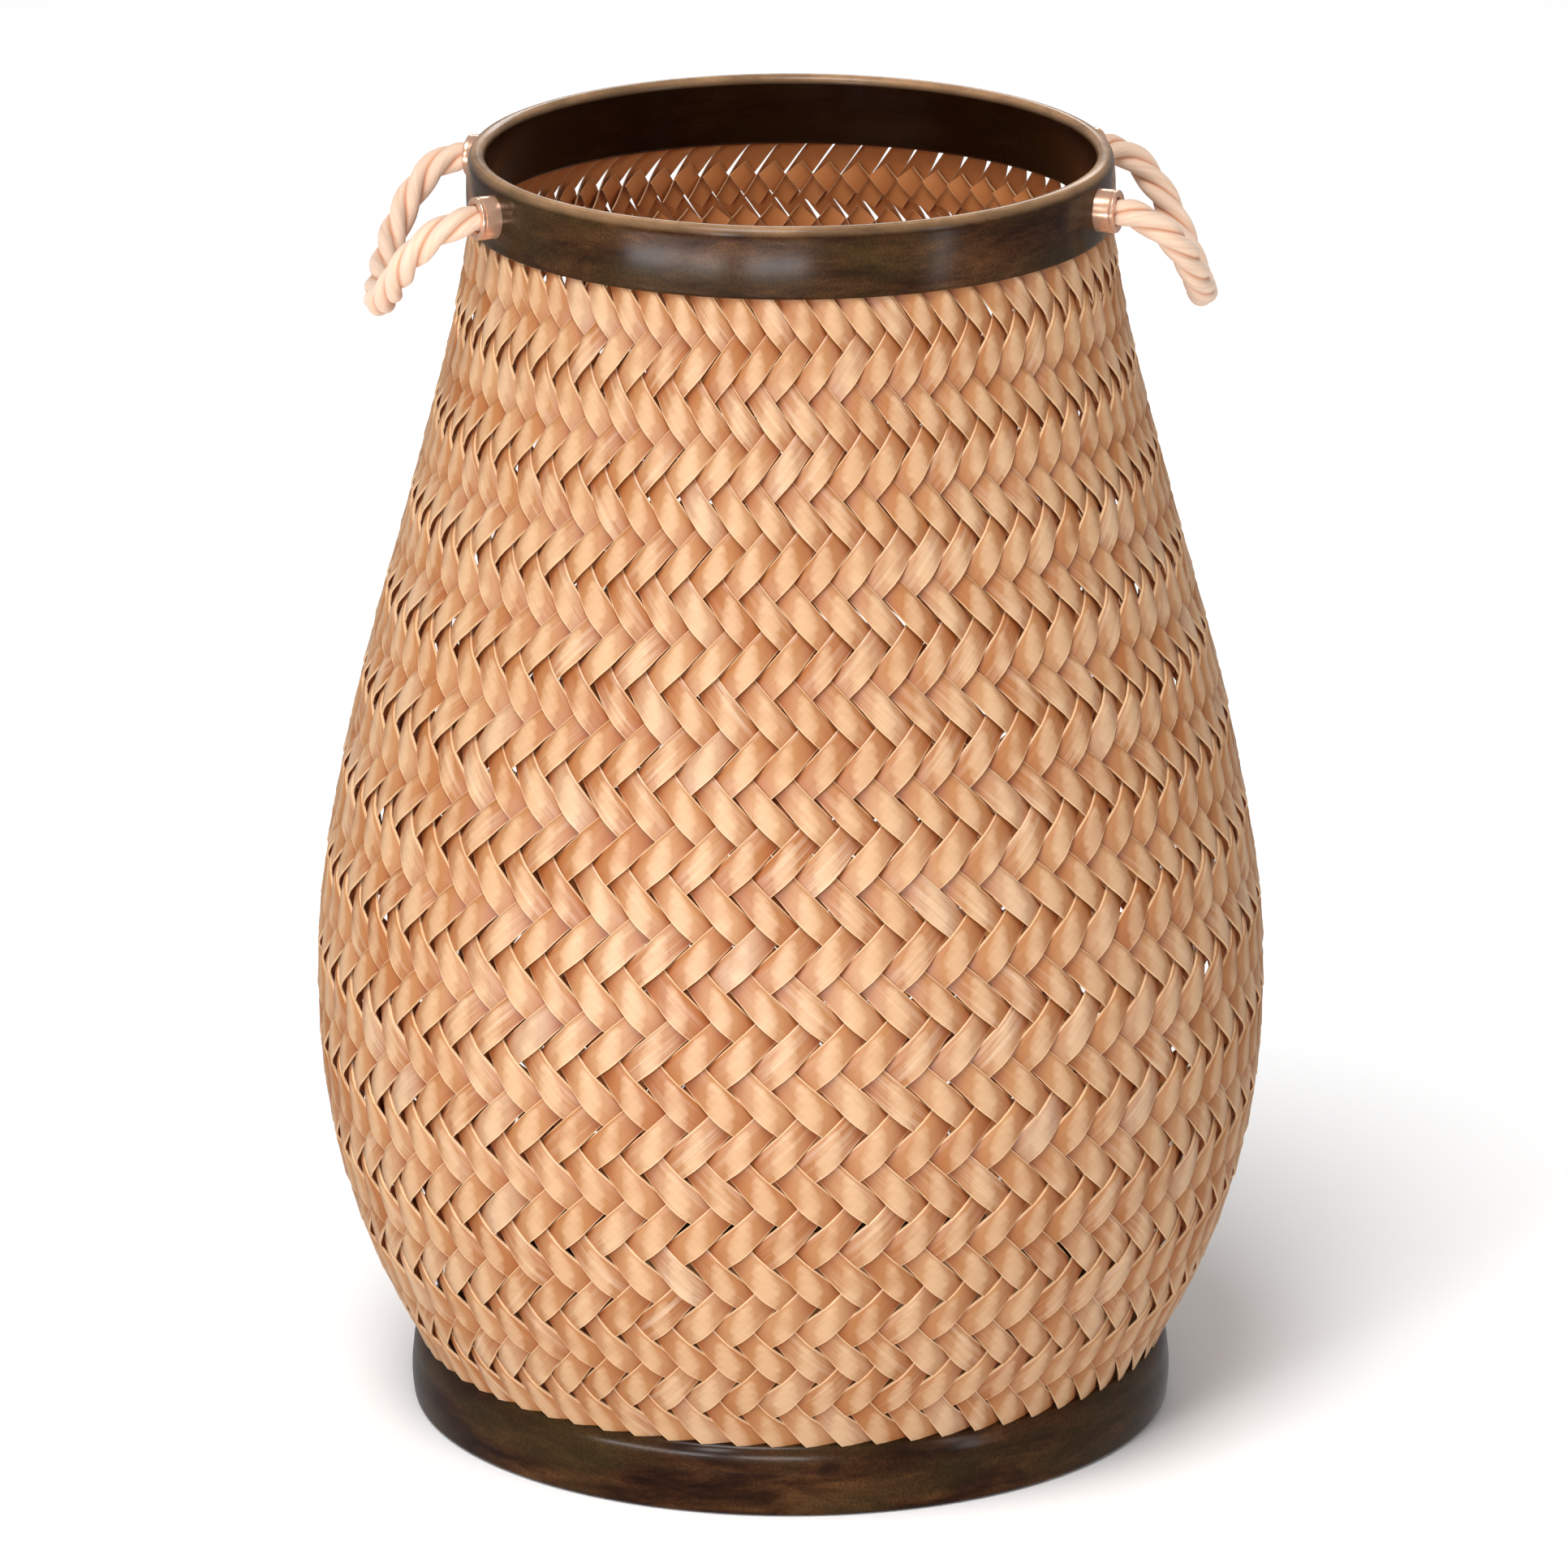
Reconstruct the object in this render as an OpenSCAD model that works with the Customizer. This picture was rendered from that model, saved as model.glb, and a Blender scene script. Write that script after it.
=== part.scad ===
/* [Overall] */
// Height from the floor to the top of the rim
basket_h = 576; // [520:1:640]
// Widest diameter of the woven belly
belly_d = 423; // [410:1:440]
// Outer diameter of the wooden rim
rim_d = 285; // [280:1:290]
// Outer diameter of the wooden base ring
base_d = 342; // [336:1:348]

/* [Rim and base ring] */
// Height of the rim ring
rim_h = 31.5; // [30:0.5:34]
// Thickness of the rim's wall
rim_t = 8.5; // [8:0.5:10]
// Height of the base ring
base_h = 33; // [32:1:38]
// Thickness of the base ring's wall
base_t = 15; // [14.5:0.5:17]
// Thickness of the round floor board
floor_t = 6; // [5:0.5:8]
// Number of screws that hold the floor board
screw_count = 6; // [4:1:12]

/* [Woven wall] */
// Thickness of the two crossing layers of splints
wall_t = 3.2; // [2.4:0.2:3.2]
// How far the splints' upper ends sit inside the rim
rim_groove = 6; // [4:0.5:6]
// How far the splints' lower ends sit inside the base ring
base_groove = 6; // [4:0.5:7]

/* [Rope handles] */
// Diameter of the rope
rope_d = 12; // [10:0.5:12]
// Outer diameter of a ferrule
ferrule_d = 19; // [18:0.5:20]
// How far a ferrule stands out of the rim
ferrule_out = 8.7; // [8:0.1:9]
// How deep a ferrule and its rope go into the rim
ferrule_in = 4.5; // [3:0.5:5]
// Distance from the basket's axis to the handles' swing axis
swing_x = 146.5; // [146:0.5:150]
// Distance from the middle of a handle to each of its ferrules
swing_y = 59.8; // [58:0.1:61]
// Sides of the rope's tube
rope_sides = 12; // [8:1:12]

/* [Hidden] */
$fn = 96;

rim_r = rim_d / 2;
base_r = base_d / 2;
belly_r = belly_d / 2;
rope_r = rope_d / 2;
rim_z = basket_h - rim_h;
swing_z = rim_z + rim_h / 2;
ferrule_angle = atan2(swing_y, swing_x);
swing_radius = norm([swing_x, swing_y]);
mouth_radius = rim_r + ferrule_out;
seat_radius = rim_r - 0.6;         // flat seat that a ferrule's back stands on
blind_radius = rim_r - ferrule_in; // bottom of the blind hole behind a ferrule
sleeve_r = rope_r + 1.3;           // the part of a ferrule inside the rim
fit = 0.05;                        // radial clearance of glued joints
part_gap = 0.4;                    // gap between a rope's fixed end and its swinging loop
fine = 0.01;                       // keeps cutting faces off the faces they cut

floor_z = 12;
floor_r = base_r - 8.2;
board_top = floor_z + floor_t;
base_inner_r = base_r - base_t;
screw_r = 1.75;
screw_head_r = 3.6;
screw_head_h = 2.2;
screw_len = 13;
screw_circle = base_inner_r + 3.5;

// Outline of the weave's outer face, from the base ring up: [height, radius]
wall_stations = [
    [base_h - base_groove, base_r - 6.5],
    [0.122 * basket_h, 0.882 * belly_r],
    [0.191 * basket_h, 0.948 * belly_r],
    [0.260 * basket_h, 0.986 * belly_r],
    [0.339 * basket_h, belly_r],
    [0.434 * basket_h, 0.983 * belly_r],
    [0.573 * basket_h, 0.910 * belly_r],
    [0.729 * basket_h, 0.796 * belly_r],
    [0.868 * basket_h, 0.702 * belly_r],
    [rim_z + rim_groove, rim_r - 2.2]
];

// Route of the right handle between its swing centres, from the front one to the rear one
right_route = [
    [154.2, -59.2, 555.6], [160.8, -57.6, 550.4], [166.2, -54, 544.2], [170.6, -48.6, 537.2],
    [174, -41.5, 529.8], [177, -32.5, 522.6], [179.3, -22, 516.3], [180.7, -10.5, 511.8],
    [181.2, 1.5, 509.8], [180.9, 13.5, 510.6], [179.6, 25, 514], [177.3, 35.4, 519.6],
    [174.4, 44.2, 526.4], [170.6, 51.2, 534], [166, 56, 541.8], [160.6, 58.6, 549.2],
    [154.2, 59.4, 555.3]
];

// Point t of the way from b to c on the smooth curve through a, b, c and d
function smooth(a, b, c, d, t) =
    0.5 * (2 * b + (c - a) * t + (2 * a - 5 * b + 4 * c - d) * t * t
        + (3 * b - a - 3 * c + d) * t * t * t);

// Smooth curve through a list of points, with steps points to each span
function curve(p, steps) =
    let (n = len(p))
    concat([
        for (i = [0 : n - 2], j = [0 : steps - 1])
            smooth(p[max(i - 1, 0)], p[i], p[i + 1], p[min(i + 2, n - 1)], j / steps)
    ], [p[n - 1]]);

// Points on an oval arc of an outline, r across and h high, from angle a0 to angle a1
function oval(centre, r, h, a0, a1, n = 8) =
    [for (i = [0 : n]) let (a = a0 + (a1 - a0) * i / n) centre + [r * cos(a), h * sin(a)]];

// Points on a round arc of an outline
function arc(centre, r, a0, a1, n = 8) = oval(centre, r, r, a0, a1, n);

// Outer face of a ring, bulging by sag halfway up, between two heights
function bulged(r, sag, z0, z1, n = 10) =
    [for (i = [0 : n]) let (t = i / n) [r - sag * pow(2 * t - 1, 2), z0 + (z1 - z0) * t]];

outer_wall = curve(wall_stations, 5);

// Heights where one stretch of the weave passes into the next, from the foot up
weave_ends = [
    base_h - base_groove,
    0.2 * basket_h,
    0.36 * basket_h,
    0.54 * basket_h,
    0.74 * basket_h,
    rim_z + rim_groove
];

// Radius of the weave's outer face at a height inside a groove
function wall_r(z) = lookup(z, [for (p = outer_wall) [p[0], p[1]]]);

module weave_groove(z0, z1) {
    rotate_extrude()
        polygon([
            [wall_r(z0) - wall_t - fit, z0],
            [wall_r(z0) + fit, z0],
            [wall_r(z1) + fit, z1],
            [wall_r(z1) - wall_t - fit, z1]
        ]);
}

// Places its children on a ferrule's axis, with their +Z pointing out of the rim
module at_ferrule(angle) {
    translate([0, 0, swing_z])
        rotate([0, 0, angle])
            rotate([0, 90, 0])
                children();
}

module rim_ring() {
    outer_w = 4;
    outer_h = 6;
    inner_w = 3.5;
    inner_h = 4;
    sag = 0.5;
    bevel = 1;
    outline = concat(
        [[rim_r - sag - bevel, rim_z]],
        bulged(rim_r, sag, rim_z + bevel, basket_h - outer_h),
        oval([rim_r - sag - outer_w, basket_h - outer_h], outer_w, outer_h, 10, 90),
        oval([rim_r - rim_t + inner_w, basket_h - inner_h], inner_w, inner_h, 90, 180),
        [[rim_r - rim_t, rim_z + bevel], [rim_r - rim_t + bevel, rim_z]]
    );
    color("saddlebrown")
        difference() {
            rotate_extrude()
                polygon(outline);
            weave_groove(rim_z - fine, rim_z + rim_groove);
            for (side = [0, 180], turn = [-1, 1])
                at_ferrule(side + turn * ferrule_angle) {
                    translate([0, 0, seat_radius])
                        cylinder(r = ferrule_d / 2 + 0.2, h = 5);
                    translate([0, 0, blind_radius])
                        cylinder(r = sleeve_r + fit, h = 10);
                }
        }
}

// One stretch of the woven wall, a shell between two heights
module weave(stretch) {
    z0 = weave_ends[stretch];
    z1 = weave_ends[stretch + 1];
    face = concat(
        [[wall_r(z0), z0]],
        [for (p = outer_wall) if (p[0] > z0 + 1 && p[0] < z1 - 1) [p[1], p[0]]],
        [[wall_r(z1), z1]]
    );
    last = len(face) - 1;
    color("burlywood")
        rotate_extrude()
            polygon(concat(face, [for (i = [last : -1 : 0]) face[i] - [wall_t, 0]]));
}

module weave_foot() { weave(0); }

module weave_belly() { weave(1); }

module weave_waist() { weave(2); }

module weave_shoulder() { weave(3); }

module weave_neck() { weave(4); }

module base_ring() {
    foot_r = 3;
    top_w = 5.5;
    top_h = 11;
    sag = 0.8;
    outline = concat(
        [[floor_r + fit, 0]],
        arc([base_r - sag - foot_r, foot_r], foot_r, -90, -10),
        bulged(base_r, sag, foot_r, base_h - top_h),
        oval([base_r - sag - top_w, base_h - top_h], top_w, top_h, 10, 90),
        [
            [base_inner_r + 1, base_h],
            [base_inner_r, base_h - 1],
            [base_inner_r, board_top],
            [floor_r + fit, board_top]
        ]
    );
    color("saddlebrown")
        difference() {
            rotate_extrude()
                polygon(outline);
            weave_groove(base_h - base_groove, base_h + fine);
            at_screws()
                cylinder(r = screw_r + fit, h = screw_len + 0.5, $fn = 32);
        }
}

module at_screws() {
    for (i = [0 : screw_count - 1])
        rotate([0, 0, (i + 0.5) * 360 / screw_count])
            translate([screw_circle, 0, floor_z])
                children();
}

module floor_board() {
    bevel = 1;
    color("peru")
        difference() {
            rotate_extrude()
                polygon([
                    [0, floor_z],
                    [floor_r - bevel, floor_z],
                    [floor_r, floor_z + bevel],
                    [floor_r, board_top],
                    [0, board_top]
                ]);
            at_screws() {
                translate([0, 0, -fine])
                    cylinder(r = screw_r + fit, h = floor_t + 2 * fine, $fn = 32);
                translate([0, 0, -fine])
                    cylinder(r1 = screw_head_r + fit, r2 = screw_r + fit, h = screw_head_h, $fn = 32);
            }
        }
}

module floor_screws() {
    slot_w = 0.9;
    slot_d = 1;
    color("silver")
        at_screws()
            difference() {
                union() {
                    cylinder(r1 = screw_head_r, r2 = screw_r, h = screw_head_h, $fn = 32);
                    cylinder(r = screw_r, h = screw_len - 2, $fn = 32);
                    translate([0, 0, screw_len - 2])
                        cylinder(r1 = screw_r, r2 = 0.4, h = 2, $fn = 32);
                }
                for (turn = [0, 90])
                    rotate([0, 0, turn])
                        translate([-2.2, -slot_w / 2, -fine])
                            cube([4.4, slot_w, slot_d]);
            }
}

module ferrule(angle) {
    lip = 0.9;
    outer = ferrule_d / 2;
    bore = rope_r + fit;
    outline = concat(
        [[bore, blind_radius], [sleeve_r, blind_radius], [sleeve_r, seat_radius], [outer, seat_radius]],
        [[outer, mouth_radius - 2.2], [outer - 0.35, mouth_radius - 2.0], [outer - 0.35, mouth_radius - 1.8]],
        arc([outer - lip, mouth_radius - lip], lip, 20, 90, 5),
        [[bore + 1.6, mouth_radius], [bore + 1.2, mouth_radius - 0.8], [bore, mouth_radius - 1.4]]
    );
    color("peachpuff")
        at_ferrule(angle)
            rotate_extrude()
                polygon(outline);
}

module left_front_ferrule() { ferrule(180 + ferrule_angle); }

module left_rear_ferrule() { ferrule(180 - ferrule_angle); }

module right_front_ferrule() { ferrule(-ferrule_angle); }

module right_rear_ferrule() { ferrule(ferrule_angle); }

// The two glued ends of one rope, each with a round nose on the swing axis
module rope_ends(side) {
    color("antiquewhite")
        for (turn = [-1, 1])
            at_ferrule(side + turn * ferrule_angle) {
                translate([0, 0, blind_radius])
                    cylinder(r = rope_r, h = swing_radius - blind_radius);
                translate([0, 0, swing_radius])
                    sphere(r = rope_r);
            }
}

module left_rope_ends() { rope_ends(180); }

module right_rope_ends() { rope_ends(0); }

function unit(v) = v / norm(v);

// The ring of points round one point of a route, square to its direction
function ring(centre, along) =
    let (
        out = unit(cross(along, [0, 0, 1])),
        up = cross(out, along)
    )
    [
        for (k = [0 : rope_sides - 1])
            let (a = 360 * k / rope_sides)
            centre + rope_r * (cos(a) * out + sin(a) * up)
    ];

// A handle's rope as one closed tube, starting clear of the round noses of its fixed ends.
// side is 1 for the right handle and -1 for the left one, its mirror image.
module rope_loop(side) {
    route = [for (p = right_route) [side * p[0], p[1], p[2]]];
    last = len(route) + 1;
    clear = rope_r + part_gap;
    front = [side * swing_x, -swing_y, swing_z];
    rear = [side * swing_x, swing_y, swing_z];
    first_way = unit(route[0] - front);
    last_way = unit(rear - route[last - 2]);
    line = concat([front + clear * first_way], route, [rear - clear * last_way]);
    ways = [
        for (i = [0 : last])
            i == 0 ? first_way
            : i == last ? last_way
            : unit(line[i + 1] - line[i - 1])
    ];
    points = [for (i = [0 : last]) each ring(line[i], ways[i])];
    n = rope_sides;
    sides = [
        for (i = [0 : last - 1], k = [0 : n - 1])
            [i * n + k, i * n + (k + 1) % n, (i + 1) * n + (k + 1) % n, (i + 1) * n + k]
    ];
    caps = [
        [for (k = [n - 1 : -1 : 0]) k],
        [for (k = [0 : n - 1]) last * n + k]
    ];
    color("antiquewhite")
        polyhedron(points = points, faces = concat(sides, caps));
}

module left_rope_handle() { rope_loop(-1); }

module right_rope_handle() { rope_loop(1); }

rim_ring();
weave_neck();
weave_shoulder();
weave_waist();
weave_belly();
weave_foot();
base_ring();
floor_board();
floor_screws();
left_front_ferrule();
left_rear_ferrule();
right_front_ferrule();
right_rear_ferrule();
left_rope_ends();
right_rope_ends();
left_rope_handle();
right_rope_handle();
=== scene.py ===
import math

import bpy
import numpy as np
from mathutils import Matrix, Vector


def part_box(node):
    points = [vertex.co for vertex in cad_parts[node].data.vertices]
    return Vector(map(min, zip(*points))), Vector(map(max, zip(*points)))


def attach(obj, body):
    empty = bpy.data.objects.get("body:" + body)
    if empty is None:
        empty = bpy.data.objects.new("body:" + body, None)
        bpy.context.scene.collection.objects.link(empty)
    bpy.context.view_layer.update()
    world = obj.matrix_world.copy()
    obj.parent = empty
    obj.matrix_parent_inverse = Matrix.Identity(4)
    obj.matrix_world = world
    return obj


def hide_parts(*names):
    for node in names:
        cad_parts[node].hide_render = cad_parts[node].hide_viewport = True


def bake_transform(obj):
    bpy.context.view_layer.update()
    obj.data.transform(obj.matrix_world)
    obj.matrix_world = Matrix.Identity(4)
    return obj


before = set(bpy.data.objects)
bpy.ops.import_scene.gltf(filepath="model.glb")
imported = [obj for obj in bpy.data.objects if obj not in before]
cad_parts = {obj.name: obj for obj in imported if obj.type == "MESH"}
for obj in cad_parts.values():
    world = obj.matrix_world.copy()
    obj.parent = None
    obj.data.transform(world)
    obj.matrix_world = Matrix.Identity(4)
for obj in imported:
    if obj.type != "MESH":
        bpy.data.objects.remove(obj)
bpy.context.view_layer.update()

# ---------------------------------------------------------------- sizes, in metres

MM = 0.001
rim_low, rim_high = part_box("rim_ring")
_, base_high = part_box("base_ring")
rim_r = rim_high.x
rim_z = rim_low.z
basket_h = rim_high.z
base_r = base_high.x
base_h = base_high.z
swing_z = (rim_z + basket_h) / 2

rim_t = 8.5 * MM             # thickness of the rim's wall
base_t = 15 * MM             # thickness of the base ring's wall

band_count = 25              # rows of the twill, from the rim down to the base ring
bands_per_piece = 5          # rows that one of the five woven stretches holds
splints_round = 68           # splints round the basket in each row
splint_t = 0.8 * MM          # thickness of a splint
splint_reach = 0.87          # how far a splint runs past its row's middle, in rows
splint_lean = 1.152          # sideways run of a splint over one row, in splint spacings
tuck_depth = 4.0 * MM        # how far a splint's end sits behind the crown of its arch
splint_twist = 1.25 * MM     # how far a splint's edges turn out of its face, one way above, one below
splint_turn = 0.014          # usual random turn of a splint in the wall, in radians
splint_wide = 0.032          # usual random share added to a splint's width
splint_slide = 0.006         # usual random move along a splint, in rows
splint_shift = 0.18 * MM     # usual random move sideways
splint_lift = 0.1 * MM       # usual random move in or out of the wall
upper_half = 0.955           # half-width of a splint above its line, in half spacings
last_half = 1.15             # the same below its line, at the lower ends of the last row
last_tuck = 0.4              # share of tuck_depth that those ends keep, to run into the base ring
rows_seen = 24.89            # rows between the rim and the base ring
row_drop = 0.4               # how far below the rim the first row's middle lies, in rows
row_turn = -0.12             # turn of the first row's splints round the basket, in splint spacings

rope_d = 12 * MM
rope_pitch = 55 * MM         # length of one turn of the rope's three strands
rope_hidden = 10 * MM        # length of rope inside each ferrule
rope_grip = 0.87             # how much a ferrule narrows the rope
rope_start = 141 * MM        # radius at which the rope ends inside its ferrule
rope_bend = 149 * MM         # radius from which the rope starts to hang
strand_r = 3.8 * MM          # radius of each of the rope's three strands
strand_off = 3 * MM          # distance of the strands' centres from the rope's
swing_x, swing_y = 146.5 * MM, 59.8 * MM
ferrule_r = 9.5 * MM
ferrule_mouth = rim_r + 8.7 * MM
ferrule_angle = math.atan2(swing_y, swing_x)
ring_segments = 288          # facets round each wooden ring

# Route of the hanging right handle in millimetres, from the front ferrule to the rear one
handle_route = [
    (146.3, -58.9, 559.0), (154.2, -59.2, 555.6), (160.8, -57.6, 550.4), (166.2, -54, 544.2),
    (170.6, -48.6, 537.2), (174, -41.5, 529.8), (177, -32.5, 522.6), (179.3, -22, 516.3),
    (180.7, -10.5, 511.8), (181.2, 1.5, 509.8), (180.9, 13.5, 510.6), (179.6, 25, 514),
    (177.3, 35.4, 519.6), (174.4, 44.2, 526.4), (170.6, 51.2, 534), (166, 56, 541.8),
    (160.6, 58.6, 549.2), (154.2, 59.4, 555.3), (146.3, 58.9, 559.1),
]


# ---------------------------------------------------------------- camera

def add_camera(place, target, lens):
    data = bpy.data.cameras.new("camera")
    data.lens = lens
    data.sensor_width = 36
    camera = bpy.data.objects.new("camera", data)
    bpy.context.scene.collection.objects.link(camera)
    camera.location = place
    camera.rotation_euler = (Vector(target) - Vector(place)).to_track_quat("-Z", "Y").to_euler()
    bpy.context.scene.camera = camera


# ---------------------------------------------------------------- shader helpers

def linear(colour):
    """sRGB values from 0 to 255 as a linear RGBA colour."""
    def one(c):
        c /= 255
        return c / 12.92 if c <= 0.04045 else ((c + 0.055) / 1.055) ** 2.4
    return (*[one(c) for c in colour], 1)


class Shader:
    """A node material with one Principled shader, and short ways to add nodes to it."""

    def __init__(self, name, **sockets):
        self.material = bpy.data.materials.new(name)
        self.material.use_nodes = True
        self.tree = self.material.node_tree
        self.surface = self.tree.nodes["Principled BSDF"]
        for socket, value in sockets.items():
            self.surface.inputs[socket.replace("_", " ")].default_value = value

    def join(self, source, target):
        """Feeds a socket from another socket, gives it a value, or leaves it as it is for None."""
        if isinstance(source, bpy.types.NodeSocket):
            self.tree.links.new(source, target)
        elif source is not None:
            target.default_value = source

    def add(self, kind, output=0, inputs=None, **settings):
        node = self.tree.nodes.new("ShaderNode" + kind)
        for key, value in settings.items():
            setattr(node, key, value)
        for key, value in (inputs or {}).items():
            self.join(value, node.inputs[key])
        return node.outputs[output]

    def attribute(self, name, output="Vector"):
        return self.add("Attribute", output, attribute_name=name)

    def split(self, vector):
        return self.add("SeparateXYZ", inputs={0: vector}).node.outputs

    def scaled(self, vector, scale):
        return self.add("VectorMath", 0, {0: vector, 1: scale}, operation="MULTIPLY")

    def noise(self, vector, scale=1.0, detail=3.0, roughness=0.55, distortion=0.0):
        """Noise from 0 to 1; its scale is in features per unit of the vector."""
        sockets = {"Vector": vector, "Scale": scale, "Detail": detail, "Roughness": roughness,
                   "Distortion": distortion}
        return self.add("TexNoise", "Fac", sockets)

    def maths(self, operation, a, b, c=None):
        return self.add("Math", 0, {0: a, 1: b, 2: c}, operation=operation)

    def spread(self, value, low, high, to_low=0.0, to_high=1.0):
        """Stretches the values from low to high over to_low to to_high, and holds them there."""
        sockets = {"Value": value, "From Min": low, "From Max": high, "To Min": to_low, "To Max": to_high}
        return self.add("MapRange", 0, sockets, clamp=True)

    def mix(self, factor, a, b):
        node = self.tree.nodes.new("ShaderNodeMix")
        node.data_type = "RGBA"
        self.join(factor, node.inputs[0])
        self.join(a, node.inputs[6])
        self.join(b, node.inputs[7])
        return node.outputs[2]

    def ramp(self, value, stops):
        node = self.tree.nodes.new("ShaderNodeValToRGB")
        elements = node.color_ramp.elements
        while len(elements) < len(stops):
            elements.new(0.5)
        for element, (place, colour) in zip(elements, stops):
            element.position = place
            element.color = linear(colour)
        self.join(value, node.inputs[0])
        return node.outputs[0]

    def bump(self, height, strength, distance):
        sockets = {"Height": height, "Strength": strength, "Distance": distance}
        self.join(self.add("Bump", 0, sockets), self.surface.inputs["Normal"])

    def finish(self, colour, roughness=None):
        self.join(colour, self.surface.inputs["Base Color"])
        self.join(roughness, self.surface.inputs["Roughness"])
        return self.material


# ---------------------------------------------------------------- materials

def wicker_material():
    """Pale split wood: a tone for each splint, fine lengthwise grain and blotches, with a painted
    highlight along the edges.

    It has painted shade, a redder brown, where a splint is tucked away, a painted orange glow on its
    inner face, and a painted highlight, paler, on its crown.
    """
    s = Shader("wicker", Specular_IOR_Level=0.5)
    look = s.split(s.attribute("look"))
    tone, streak, edge = look[0], look[1], look[2]
    grain = s.attribute("grain")
    fine = s.noise(s.scaled(grain, (2200, 40, 1)), detail=4, roughness=0.6)
    broad = s.noise(s.scaled(grain, (420, 18, 1)), detail=2)
    blotch = s.noise(s.scaled(grain, (110, 60, 1)), detail=2)
    colour = s.ramp(tone, [
        (0.0, (158, 95, 45)), (0.22, (166, 109, 61)), (0.5, (174, 121, 75)),
        (0.78, (182, 135, 93)), (1.0, (184, 149, 120)),
    ])
    colour = s.mix(s.spread(blotch, 0.52, 0.78, 0, 0.4), colour, linear((164, 97, 48)))
    pale = s.maths("MULTIPLY", s.spread(broad, 0.46, 0.7, 0, 0.6), streak)
    colour = s.mix(pale, colour, linear((216, 190, 164)))
    depth = s.maths("MULTIPLY_ADD", streak, 0.3, 0.22)
    lines = s.maths("MULTIPLY", s.spread(fine, 0.62, 0.36), depth)
    colour = s.mix(lines, colour, linear((142, 86, 48)))
    # tuck holds depth behind the crown on the outer face, for painted shade and a painted crown
    # highlight, and -1 on the inner face, for a painted glow
    tuck = s.attribute("tuck", "Fac")
    # painted shade: a redder brown where a splint sinks behind its neighbours
    colour = s.mix(s.spread(tuck, 0.16, 0.75, 0, 0.85), colour, linear((146, 72, 26)))
    # painted highlight: paler on the crown of each splint's arch
    colour = s.mix(s.spread(tuck, 0.12, 0.0, 0, 0.42), colour, linear((226, 192, 153)))
    # painted highlight: a bright line along each splint's long edges
    colour = s.mix(s.maths("MULTIPLY", edge, 0.8), colour, linear((240, 202, 158)))
    # painted glow: warm orange on the inner face, standing in for light through and between the splints
    colour = s.mix(s.spread(tuck, 0.0, -1.0, 0, 0.75), colour, linear((228, 138, 70)))
    s.bump(s.maths("ADD", fine, broad), 0.3, 0.1 * MM)
    return s.finish(colour, s.spread(fine, 0.3, 0.7, 0.32, 0.46))


def dark_wood_material():
    """Dark stained wood with a satin varnish: umber and olive mottling, tan where it is worn, and painted
    shade, near black, on the rim's inner face.
    """
    s = Shader("dark_wood", Specular_IOR_Level=0.5, IOR=1.27)
    place = s.add("TexCoord", "Object")
    along = s.scaled(place, (0.34, 0.34, 1.3))
    mottle = s.noise(along, 62, detail=6, roughness=0.68, distortion=0.4)
    olive = s.noise(along, 34, detail=3, roughness=0.5)
    speck = s.noise(place, 1100, detail=2)
    colour = s.ramp(mottle, [
        (0.34, (28, 12, 5)), (0.45, (46, 24, 10)), (0.55, (66, 39, 18)), (0.68, (90, 58, 31)),
    ])
    colour = s.mix(s.spread(olive, 0.46, 0.64, 0, 0.6), colour, linear((58, 46, 22)))
    colour = s.mix(s.spread(speck, 0.4, 0.62, 0, 0.45), colour, linear((24, 11, 4)))
    inner = s.attribute("inner", "Fac")
    # painted shade: near black on the rim's inner face, where shade falls inside the basket
    colour = s.mix(s.maths("MULTIPLY", inner, 0.8), colour, linear((26, 8, 2)))
    wear = s.maths("MULTIPLY", s.attribute("wear", "Fac"), s.spread(mottle, 0.3, 0.62, 0.35, 0.95))
    colour = s.mix(wear, colour, linear((190, 148, 110)))
    s.bump(s.noise(along, 420, detail=3), 0.08, 0.1 * MM)
    return s.finish(colour, s.spread(mottle, 0.3, 0.7, 0.18, 0.23))


def rope_material():
    """Cream cotton rope with fine yarns along its strands, and painted shade in the grooves between the
    strands.
    """
    s = Shader("rope", Sheen_Weight=0.3, Sheen_Roughness=0.5, Specular_IOR_Level=0.15)
    yarn = s.attribute("yarn")
    fine = s.noise(s.scaled(yarn, (5200, 160, 1)), detail=2)
    soft = s.noise(s.scaled(yarn, (700, 40, 1)), detail=2)
    groove_shade = s.split(yarn)[2]
    colour = s.ramp(soft, [(0.3, (216, 182, 156)), (0.7, (230, 202, 180))])
    colour = s.mix(s.spread(fine, 0.6, 0.35, 0, 0.2), colour, linear((212, 170, 140)))
    # painted shade: a darker brown in the grooves between strands
    colour = s.mix(s.maths("MULTIPLY", groove_shade, 0.75), colour, linear((196, 122, 76)))
    s.bump(fine, 0.25, 0.1 * MM)
    return s.finish(colour, s.spread(fine, 0.3, 0.7, 0.8, 0.95))


def copper_material():
    """Polished copper plating, finely turned round its axis, with faint handling marks."""
    s = Shader("copper_metal", Metallic=0.72)
    place = s.add("TexCoord", "Object")
    smudge = s.noise(place, 160, detail=3)
    turned = s.noise(s.scaled(place, (1, 0.35, 0.35)), 2400, detail=1)
    colour = s.ramp(smudge, [(0.3, (236, 182, 150)), (0.7, (244, 200, 172))])
    s.bump(turned, 0.02, 0.02 * MM)
    return s.finish(colour, s.spread(smudge, 0.3, 0.7, 0.2, 0.27))


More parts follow.
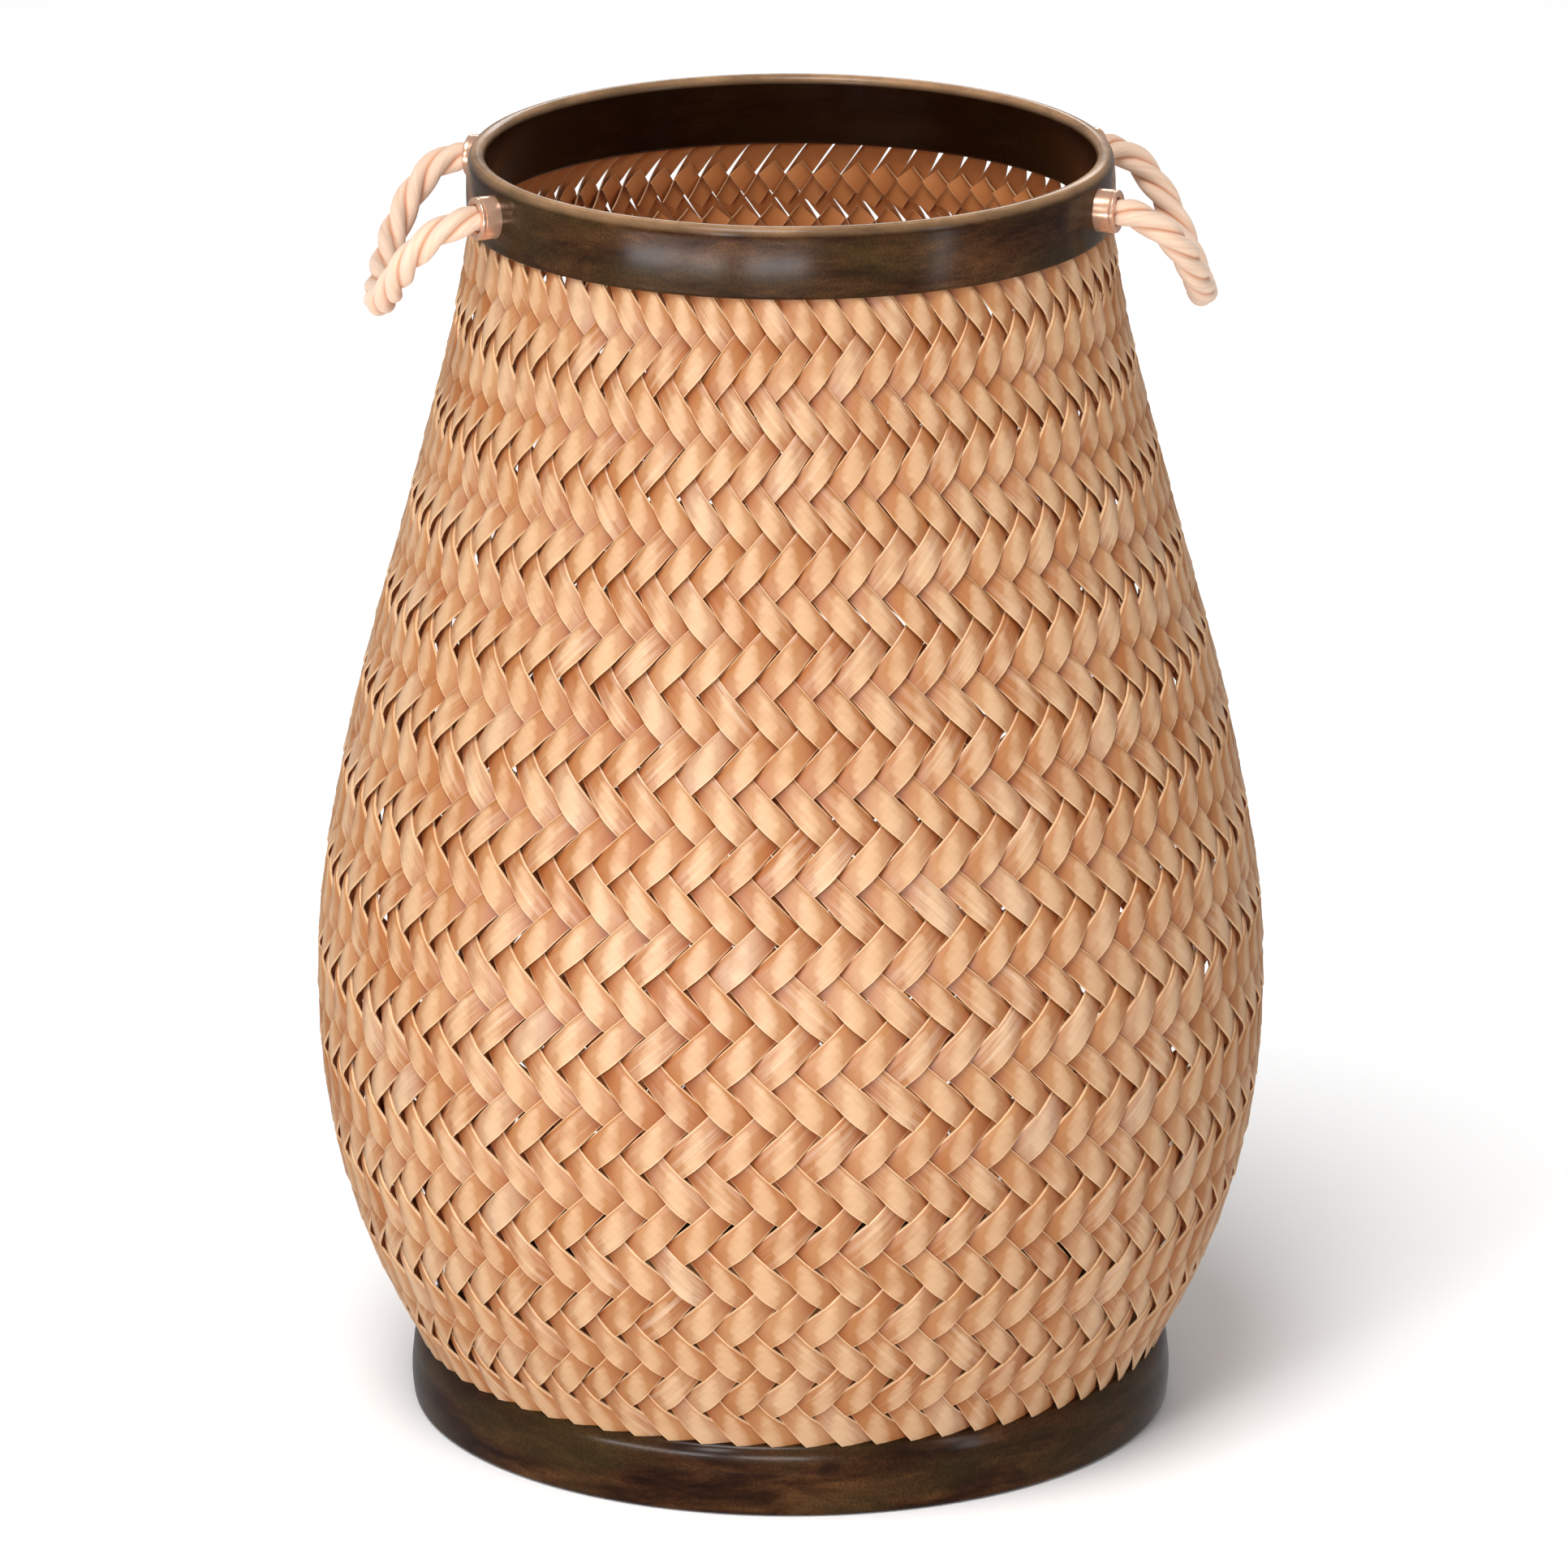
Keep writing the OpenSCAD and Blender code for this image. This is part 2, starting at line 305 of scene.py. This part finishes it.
def board_material():
    """Plain plywood: long grain lines with a few darker streaks."""
    s = Shader("board", Specular_IOR_Level=0.3)
    place = s.scaled(s.add("TexCoord", "Object"), (1, 0.07, 1))
    broad = s.noise(place, 60, detail=4, distortion=0.6)
    fine = s.noise(place, 520, detail=4)
    colour = s.ramp(broad, [(0.3, (176, 128, 84)), (0.5, (198, 152, 106)), (0.7, (212, 172, 128))])
    colour = s.mix(s.spread(fine, 0.6, 0.4, 0, 0.5), colour, linear((146, 100, 62)))
    s.bump(fine, 0.3, 0.2 * MM)
    return s.finish(colour, s.spread(fine, 0.3, 0.7, 0.6, 0.78))


def steel_material():
    """Bright plain steel with fine scratches."""
    s = Shader("screw_steel", Metallic=1.0)
    place = s.add("TexCoord", "Object")
    scratch = s.noise(s.scaled(place, (1, 0.1, 1)), 1800, detail=2)
    colour = s.ramp(scratch, [(0.3, (150, 150, 152)), (0.7, (196, 196, 198))])
    s.bump(scratch, 0.1, 0.03 * MM)
    return s.finish(colour, s.spread(scratch, 0.3, 0.7, 0.25, 0.42))


def floor_material():
    s = Shader("studio_floor", Base_Color=(0.95, 0.95, 0.95, 1), Roughness=0.8, Specular_IOR_Level=0.1)
    return s.material


# ---------------------------------------------------------------- mesh helpers

def add_mesh(name, points, faces, material, sharp_deg=42):
    """A smooth-shaded mesh object, with the edges that turn more than sharp_deg kept sharp."""
    mesh = bpy.data.meshes.new(name)
    mesh.from_pydata([tuple(p) for p in points], [], [tuple(f) for f in faces])
    mesh.shade_smooth()
    mesh.set_sharp_from_angle(angle=math.radians(sharp_deg))
    mesh.materials.append(material)
    piece = bpy.data.objects.new(name, mesh)
    bpy.context.scene.collection.objects.link(piece)
    return piece


def store(piece, name, values):
    """Keeps one number or one vector at each of the mesh's points, for its material."""
    values = np.asarray(values, np.float32)
    kind, field = ("FLOAT", "value") if values.ndim == 1 else ("FLOAT_VECTOR", "vector")
    attribute = piece.data.attributes.new(name, kind, "POINT")
    attribute.data.foreach_set(field, values.ravel())


def install(piece, body, slot, *nodes):
    """The piece moves with a body and stands for CAD nodes, which it hides; slot is not used."""
    if body:
        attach(piece, body)
    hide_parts(*nodes)
    return piece


def oval(centre, r, h, a0, a1, n=10):
    """Points on an oval arc of an outline, r across and h high, from angle a0 to angle a1 in degrees."""
    turns = np.radians(np.linspace(a0, a1, n + 1))
    return [(centre[0] + r * math.cos(a), centre[1] + h * math.sin(a)) for a in turns]


def arc(centre, r, a0, a1, n=10):
    return oval(centre, r, r, a0, a1, n)


def bulged(r, sag, z0, z1, n=12):
    """Outer face of a ring, bulging by sag halfway up."""
    return [(r - sag * (2 * t - 1) ** 2, z0 + (z1 - z0) * t) for t in np.linspace(0, 1, n + 1)]


def lathe(name, outline, segments, material):
    """Turns a closed outline of (radius, height) points round the Z axis."""
    outline = np.array(outline)
    n = len(outline)
    turns = np.arange(segments) * 2 * math.pi / segments
    points = np.stack([
        np.outer(np.cos(turns), outline[:, 0]),
        np.outer(np.sin(turns), outline[:, 0]),
        np.outer(np.ones(segments), outline[:, 1]),
    ], axis=2).reshape(-1, 3)
    faces = []
    for i in range(segments):
        here, there = i * n, (i + 1) % segments * n
        for j in range(n):
            k = (j + 1) % n
            faces.append((here + j, there + j, there + k, here + k))
    return add_mesh(name, points, faces, material)


# ---------------------------------------------------------------- wooden rings

def rim(material):
    """The ring round the mouth, worn along its top edge, with painted shade on its inner face."""
    sag, bevel = 0.5 * MM, 1 * MM
    outer_w, outer_h, inner_w, inner_h = 4 * MM, 6 * MM, 3.5 * MM, 4 * MM
    inner = rim_r - rim_t
    outline = [(rim_r - sag - bevel, rim_z)]
    outline += arc((rim_r - sag - bevel, rim_z + bevel), bevel, -60, -10, 4)
    outline += bulged(rim_r, sag, rim_z + 1.6 * bevel, basket_h - outer_h)
    outline += oval((rim_r - sag - outer_w, basket_h - outer_h), outer_w, outer_h, 10, 90)
    outline += oval((inner + inner_w, basket_h - inner_h), inner_w, inner_h, 90, 180)
    outline += [(inner, basket_h - t * MM) for t in (8, 14, 20, 26)]
    outline += [(inner, rim_z + bevel), (inner + bevel, rim_z)]
    piece = lathe("rim", outline, ring_segments, material)
    radii, heights = np.array(outline).T
    wear = np.clip((heights - (basket_h - inner_h)) / (3 * MM), 0, 1)
    wear *= np.where(radii < rim_r - 2.5 * MM, 1.0, 0.6)
    store(piece, "wear", np.tile(wear, ring_segments))
    # inner marks the rim's inner face for the painted shade
    store(piece, "inner", np.tile((radii < inner + 0.5 * MM) * 1.0, ring_segments))
    return install(piece, "basket", "dark_wood", "rim_ring")


def base(material):
    """The ring under the foot, with a rebate for the floor board."""
    foot_r, top_w, top_h, sag = 3 * MM, 5.5 * MM, 11 * MM, 0.8 * MM
    board_r, board_top = base_r - 8.15 * MM, 18 * MM
    inner = base_r - base_t
    outline = [(board_r, 0)]
    outline += arc((base_r - sag - foot_r, foot_r), foot_r, -90, -10)
    outline += bulged(base_r, sag, foot_r, base_h - top_h)
    outline += oval((base_r - sag - top_w, base_h - top_h), top_w, top_h, 10, 90)
    outline += [(inner + 1 * MM, base_h), (inner, base_h - 1 * MM)]
    outline += [(inner, board_top), (board_r, board_top)]
    piece = lathe("base", outline, ring_segments, material)
    # the base ring has no wear and no painted shade
    no_wear_no_shade = np.zeros(ring_segments * len(outline))
    store(piece, "wear", no_wear_no_shade)
    store(piece, "inner", no_wear_no_shade)
    return install(piece, "basket", "dark_wood", "base_ring")


# ---------------------------------------------------------------- woven wall

def wall_outline():
    """The weave's outer face as arrays of arc length from the foot, radius, height and outward normal."""
    widest = {}
    for name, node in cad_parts.items():
        if name.startswith("weave_"):
            for v in node.data.vertices:
                z = round(v.co.z, 5)
                widest[z] = max(widest.get(z, 0), math.hypot(v.co.x, v.co.y))
    z = np.array(sorted(widest))
    r = np.array([widest[h] for h in z])
    s = np.concatenate([[0], np.cumsum(np.hypot(np.diff(r), np.diff(z)))])
    even = np.linspace(0, s[-1], 160)
    r, z = np.interp(even, s, r), np.interp(even, s, z)
    along_r, along_z = np.gradient(r, even), np.gradient(z, even)
    size = np.hypot(along_r, along_z)
    return even, r, z, along_z / size, -along_r / size


def smoothstep(x):
    x = np.clip(x, 0, 1)
    return x * x * (3 - 2 * x)


def splint_section(w):
    """How far a splint's face lies behind its crown, from its lower edge, -1, to its upper, 1."""
    rolled = np.clip((w - 0.5) / 0.5, 0, 1)
    return (0.35 * np.minimum(w, 0) ** 2 + 0.25 * np.maximum(w, 0) ** 2 + 1.1 * rolled ** 2) * MM


def lower_bulge(t):
    """Half-width of a splint below its line, in half spacings, from its upper end to its lower."""
    return 0.90 + 0.17 * np.exp(-((t - 0.12) / 0.36) ** 2)


def splint_faces(na, nw):
    """Faces of one splint: its outer sheet, its inner sheet and the edges between them."""
    grid = np.arange(na * nw).reshape(na, nw)
    top = [(grid[i, j], grid[i + 1, j], grid[i + 1, j + 1], grid[i, j + 1])
           for i in range(na - 1) for j in range(nw - 1)]
    under = [tuple(p + na * nw for p in reversed(f)) for f in top]
    ring = ([(i, 0) for i in range(na)] + [(na - 1, j) for j in range(1, nw)]
            + [(i, nw - 1) for i in range(na - 2, -1, -1)] + [(0, j) for j in range(nw - 2, 0, -1)])
    loop = [grid[i, j] for i, j in ring]
    sides = [(b, a, a + na * nw, b + na * nw) for a, b in zip(loop, loop[1:] + loop[:1])]
    return np.array(top + under + sides)


def weave_stretch(index, outline, rng, material):
    """Five rows of the twill. Each splint passes behind its neighbours above and below it."""
    s_wall, r_wall, z_wall, nr_wall, nz_wall = outline
    s_rim = np.interp(rim_z, z_wall, s_wall)
    s_ring = np.interp(base_h, z_wall, s_wall)
    row = (s_rim - s_ring) / rows_seen
    along = np.linspace(-1, 1, 15)
    across = np.array([-1, -0.93, -0.5, 0.0, 0.45, 0.72, 0.9, 1])
    one = splint_faces(len(along), len(across))
    corners = 2 * len(along) * len(across)
    spacing = 2 * math.pi / splints_round
    points, looks, grains, painted_light_marks, faces = [], [], [], [], []
    for band in range(index * bands_per_piece, (index + 1) * bands_per_piece):
        lean = 1 if band % 2 == 0 else -1
        s_mid = s_rim - row * (band + row_drop)
        r_mid = np.interp(s_mid, s_wall, r_wall)
        run = splint_lean * spacing * r_mid
        line = math.hypot(run, row)
        half = 0.5 * spacing * r_mid * row / line
        up = min(splint_reach, (s_wall[-1] - s_mid - 0.3 * MM) / row)
        down = min(splint_reach, (s_mid - 0.3 * MM) / row)
        for k in range(splints_round):
            wide, shift, slide, lift = rng.normal(0, 1, 4)
            turn = rng.normal(0, splint_turn)
            t = np.where(along < 0, along * up, along * down)[:, None] + slide * splint_slide
            w = across[None, :]
            reach = np.where(w < 0, lower_bulge(t), upper_half)
            tuck = tuck_depth * smoothstep((np.abs(t - 0.04) - 0.13) / 0.70)
            if band == band_count - 1:
                lower = smoothstep(t / 0.4)
                reach = reach + (last_half - reach) * lower
                tuck = tuck * (1 - (1 - last_tuck) * lower)
            side = w * (reach * half * (1 + splint_wide * wide))
            x = lean * (run * t + side * row / line) + turn * line * t + shift * splint_shift
            s = s_mid - row * t + side * run / line
            s = np.clip(s, 0, s_wall[-1])
            r = np.interp(s, s_wall, r_wall)
            z = np.interp(s, s_wall, z_wall)
            nr = np.interp(s, s_wall, nr_wall)
            nz = np.interp(s, s_wall, nz_wall)
            depth = tuck + splint_section(w) + splint_twist * w * np.tanh(t / 0.28) + lift * splint_lift
            turn_at = (k + 0.5 * (band % 2) + row_turn) * spacing + x / r_mid
            for sheet in (0, splint_t):
                rr = r - (depth + sheet) * nr
                zz = z - (depth + sheet) * nz
                here = np.stack([rr * np.cos(turn_at), rr * np.sin(turn_at), zz], axis=2)
                points.append(here.reshape(-1, 3))
            tone = np.clip(rng.beta(2.2, 2.2), 0, 1)
            streak = rng.random() ** 2
            offset = rng.uniform(0, 50, 3)
            # edge marks the painted highlight along the splint's long edges
            edge = np.clip((np.abs(w) - 0.93) / 0.07, 0, 1)
            look = np.stack(np.broadcast_arrays(tone, streak, edge + 0 * t), axis=2)
            grain = np.stack(np.broadcast_arrays(side, line * t, 0.0), axis=2) + offset * (0.01, 0.1, 1)
            looks += [look.reshape(-1, 3)] * 2
            grains += [grain.reshape(-1, 3)] * 2
            # -1 on the inner sheet marks the painted glow; the side faces keep 0 and stay bright
            inner_glow = np.where(np.abs(w) < 1, -1.0, 0.0) + 0 * t
            # depth for the painted shade and crown highlight, and -1 on the inner sheet for the painted
            # glow
            painted_light_marks += [np.clip(depth / tuck_depth, 0, 1).ravel(), inner_glow.ravel()]
            faces.append(one + len(faces) * corners)
    name = ("neck", "shoulder", "waist", "belly", "foot")[index]
    piece = add_mesh("splints_" + name, np.concatenate(points), np.concatenate(faces).tolist(), material)
    store(piece, "look", np.concatenate(looks))
    store(piece, "grain", np.concatenate(grains))
    store(piece, "tuck", np.concatenate(painted_light_marks))
    return install(piece, "basket", "wicker", "weave_" + name)


# ---------------------------------------------------------------- ferrules and ropes

def ferrule(name, angle, material):
    """A short turned tube with a rolled lip, standing out of the rim."""
    seat, lip, bore = rim_r - 4 * MM, 0.9 * MM, rope_d / 2 + 0.05 * MM
    step = 0.35 * MM
    outline = [(bore, seat), (ferrule_r, seat)]
    outline += [(ferrule_r, ferrule_mouth - depth * MM) for depth in (7, 5, 3.4, 2.4, 2.2)]
    outline += [(ferrule_r - step, ferrule_mouth - depth * MM) for depth in (2.05, 1.85)]
    outline += arc((ferrule_r - lip, ferrule_mouth - lip), lip, 5, 90, 8)
    outline += arc((bore + 1.5 * MM, ferrule_mouth - 1.4 * MM), 1.4 * MM, 90, 180, 6)
    piece = lathe(name, outline, 96, material)
    piece.rotation_euler = (0, math.pi / 2, angle)
    piece.location = (0, 0, swing_z)
    return install(piece, "basket", "copper_metal", name.replace("_sleeve", "_ferrule"))


def smooth_line(points, steps):
    """A Catmull-Rom curve through the points."""
    p = np.array(points, float)
    p = np.vstack([2 * p[0] - p[1], p, 2 * p[-1] - p[-2]])
    line = []
    for i in range(1, len(p) - 2):
        a, b, c, d = p[i - 1:i + 3]
        for t in np.arange(steps) / steps:
            line.append(0.5 * (2 * b + (c - a) * t + (2 * a - 5 * b + 4 * c - d) * t ** 2
                               + (3 * b - a - 3 * c + d) * t ** 3))
    return np.array(line + [p[-2]])


def evenly(line, step):
    """The same line with its points a step apart, and their distances from its start."""
    s = np.concatenate([[0], np.cumsum(np.linalg.norm(np.diff(line, axis=0), axis=1))])
    even = np.linspace(0, s[-1], max(2, round(s[-1] / step)))
    return np.stack([np.interp(even, s, line[:, i]) for i in range(3)], axis=1), even


def rope(side, material):
    """A three-strand rope from inside its front ferrule to inside its rear one."""
    outward = -1 if side == "left" else 1
    cos, sin = math.cos(ferrule_angle), math.sin(ferrule_angle)
    ends = [np.array((outward * cos, way * sin, 0)) for way in (-1, 1)]
    lift = np.array((0, 0, swing_z))
    points = [ends[0] * rope_start + lift, ends[0] * rope_bend + lift]
    points += [np.array((outward * x, y, z)) * MM for x, y, z in handle_route]
    points += [ends[1] * rope_bend + lift, ends[1] * rope_start + lift]
    centre, s = evenly(smooth_line(points, 12), 1.1 * MM)
    lobe = np.radians(np.linspace(-60, 60, 13)[:-1])
    section = strand_off * np.cos(lobe) + np.sqrt(strand_r ** 2 - (strand_off * np.sin(lobe)) ** 2)
    section = np.tile(section, 3)
    turns = np.concatenate([lobe + i * 2 * math.pi / 3 for i in range(3)])
    # how far into the groove between strands a point lies, for the painted groove shade
    painted_groove_shade = np.clip((5.4 * MM - section) / (1.1 * MM), 0, 1)
    n, rings = len(turns), len(centre)
    way = np.gradient(centre, axis=0)
    way /= np.linalg.norm(way, axis=1)[:, None]
    across = np.cross(way[0], (0, 0, 1))
    verts, yarn = [], []
    for i in range(rings):
        across = across - way[i] * across.dot(way[i])
        across /= np.linalg.norm(across)
        square = np.cross(way[i], across)
        a = turns - 2 * math.pi * s[i] / rope_pitch
        ring = np.outer(np.cos(a), across) + np.outer(np.sin(a), square)
        free = min(s[i], s[-1] - s[i]) - rope_hidden
        grip = rope_grip + (1 - rope_grip) * smoothstep(free / (6 * MM))
        verts.append(centre[i] + ring * grip * section[:, None])
        yarn.append(np.stack([turns * rope_d / 2, np.full(n, s[i]), painted_groove_shade], axis=1))
    faces = [(i * n + k, i * n + (k + 1) % n, (i + 1) * n + (k + 1) % n, (i + 1) * n + k)
             for i in range(rings - 1) for k in range(n)]
    faces += [tuple(range(n - 1, -1, -1)), tuple((rings - 1) * n + k for k in range(n))]
    piece = add_mesh(side + "_rope", np.concatenate(verts), faces, material, sharp_deg=70)
    store(piece, "yarn", np.concatenate(yarn))
    install(piece, None, "rope", side + "_rope_handle", side + "_rope_ends")
    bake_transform(piece)


# ---------------------------------------------------------------- studio

def add_floor():
    half = 30.0
    corners = [(-half, -half, 0), (half, -half, 0), (half, half, 0), (-half, half, 0)]
    mesh = bpy.data.meshes.new("studio_floor")
    mesh.from_pydata(corners, [], [(0, 1, 2, 3)])
    mesh.materials.append(floor_material())
    floor = bpy.data.objects.new("studio_floor", mesh)
    bpy.context.scene.collection.objects.link(floor)
    floor.visible_glossy = False


def add_light(name, place, target, size, power):
    data = bpy.data.lights.new(name, "AREA")
    data.shape = "RECTANGLE"
    data.size, data.size_y = size
    data.energy = power
    light = bpy.data.objects.new(name, data)
    light.location = place
    light.rotation_euler = (Vector(target) - Vector(place)).to_track_quat("-Z", "Y").to_euler()
    bpy.context.scene.collection.objects.link(light)


def add_sun(name, place, power, spread_deg):
    data = bpy.data.lights.new(name, "SUN")
    data.energy = power
    data.angle = math.radians(spread_deg)
    light = bpy.data.objects.new(name, data)
    light.rotation_euler = (-Vector(place)).to_track_quat("-Z", "Y").to_euler()
    bpy.context.scene.collection.objects.link(light)


def add_studio():
    world = bpy.data.worlds.new("studio")
    world.use_nodes = True
    backdrop = world.node_tree.nodes["Background"]
    backdrop.inputs["Color"].default_value = (1, 1, 1, 1)
    backdrop.inputs["Strength"].default_value = 0.3
    bpy.context.scene.world = world
    middle = (0, 0, 0.3)
    add_sun("daylight", (-0.22, -0.45, 1.0), 2.3, 28)
    add_light("key", (-1.2, -2.4, 1.6), middle, (0.35, 0.7), 12)
    add_light("low_left", (-1.07, -0.95, 0.28), (-0.06, -0.13, 0.5), (0.5, 0.12), 3.6)
    add_light("low_front", (-0.31, -1.4, 0.26), (-0.02, -0.14, 0.5), (0.26, 0.1), 2.0)
    add_light("base_left", (-0.75, -1.25, 0.26), (-0.05, -0.16, 0.02), (0.3, 0.08), 2.4)
    add_light("base_front", (-0.05, -1.45, 0.26), (0.0, -0.17, 0.02), (0.22, 0.07), 1.8)
    add_light("low_right", (1.3, -1.1, 0.2), (0.1, -0.1, 0.1), (0.2, 0.5), 1.6)
    add_light("front", (-0.5, -3.2, 0.5), (0, 0, 0.45), (2.2, 1.0), 3.6)
    add_light("side", (1.9, -1.6, 1.3), middle, (0.4, 1.0), 5)
    add_light("back", (0.5, 2.2, 1.6), middle, (1.4, 0.5), 12)
    add_floor()
    bpy.context.scene.view_settings.view_transform = "Standard"


# ---------------------------------------------------------------- the basket

add_camera((-0.2343, -4.968, 1.820), (-0.003, 0, 0.2844), 268.2)

rope_look = rope_material()
rope("left", rope_look)
rope("right", rope_look)

wood = dark_wood_material()
rim(wood)
base(wood)

copper = copper_material()
ferrule("left_front_sleeve", math.pi + ferrule_angle, copper)
ferrule("left_rear_sleeve", math.pi - ferrule_angle, copper)
ferrule("right_front_sleeve", -ferrule_angle, copper)
ferrule("right_rear_sleeve", ferrule_angle, copper)

wicker = wicker_material()
outline = wall_outline()
rng = np.random.default_rng(7)
for index in range(band_count // bands_per_piece):
    weave_stretch(index, outline, rng, wicker)

for node, material in (("floor_board", board_material()), ("floor_screws", steel_material())):
    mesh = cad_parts[node].data
    mesh.materials.clear()
    mesh.materials.append(material)

add_studio()
